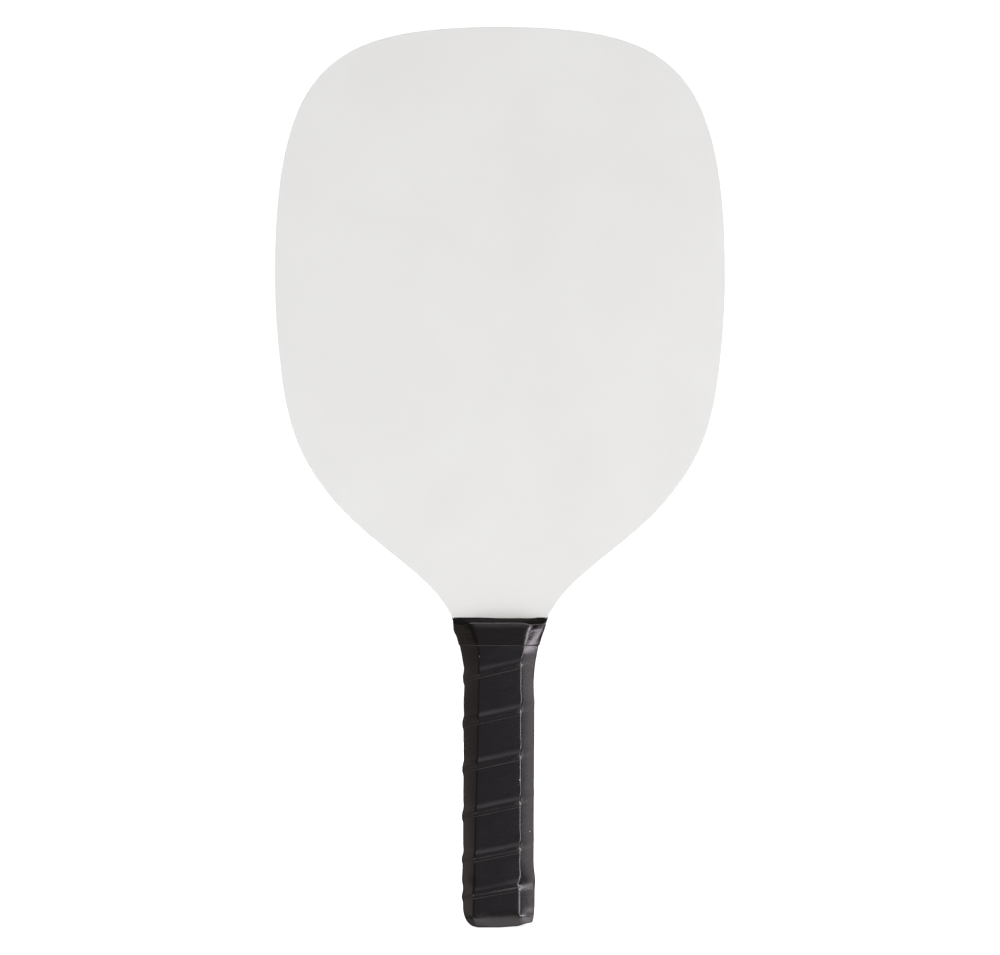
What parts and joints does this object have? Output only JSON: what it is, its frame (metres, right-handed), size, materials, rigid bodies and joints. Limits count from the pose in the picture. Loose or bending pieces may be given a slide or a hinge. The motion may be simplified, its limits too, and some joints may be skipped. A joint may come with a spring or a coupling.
{
  "type": "pickleball paddle",
  "caption": "Wooden pickleball paddle: flat rounded plywood blade with plain white faces, flared neck, eight-sided handle with wrapped grip, collar tape and butt cap.",
  "frame": {"origin": "centre of the flat end of the butt, so the paddle stands upright on its butt", "axes": "+Z runs along the handle towards the blade, X is across the width, and the front face looks towards -Y"},
  "size_m": [0.2, 0.028, 0.4],
  "materials": {
    "white_film": "satin white printable film",
    "long_grain_veneer": "sanded basswood, grain along the paddle, edges clear-sealed",
    "cross_grain_veneer": "sanded basswood, end grain at the edge, edges clear-sealed",
    "scale_wood": "sanded softwood, bare under the grip",
    "cap_plastic": "black moulded plastic, fine texture",
    "nail_steel": "bright wire nail",
    "backing_cloth": "non-woven adhesive backing",
    "grip_polyurethane": "charcoal cushioned polyurethane with a fine leather-like surface",
    "vinyl_tape": "stretched black vinyl tape, satin"
  },
  "bodies": {
    "root": {"front_face_film": "white_film", "back_face_film": "white_film", "face_veneer_front": "long_grain_veneer", "crossband_front": "cross_grain_veneer", "long_band_front": "long_grain_veneer", "core_veneer": "cross_grain_veneer", "long_band_back": "long_grain_veneer", "crossband_back": "cross_grain_veneer", "face_veneer_back": "long_grain_veneer", "handle_scale_front": "scale_wood", "handle_scale_back": "scale_wood", "butt_cap": "cap_plastic", "butt_cap_nail_front": "nail_steel", "butt_cap_nail_back": "nail_steel", "grip_backing_tape": "backing_cloth", "grip_wrap": "grip_polyurethane", "finishing_tape": "vinyl_tape"}
  },
  "joints": []
}
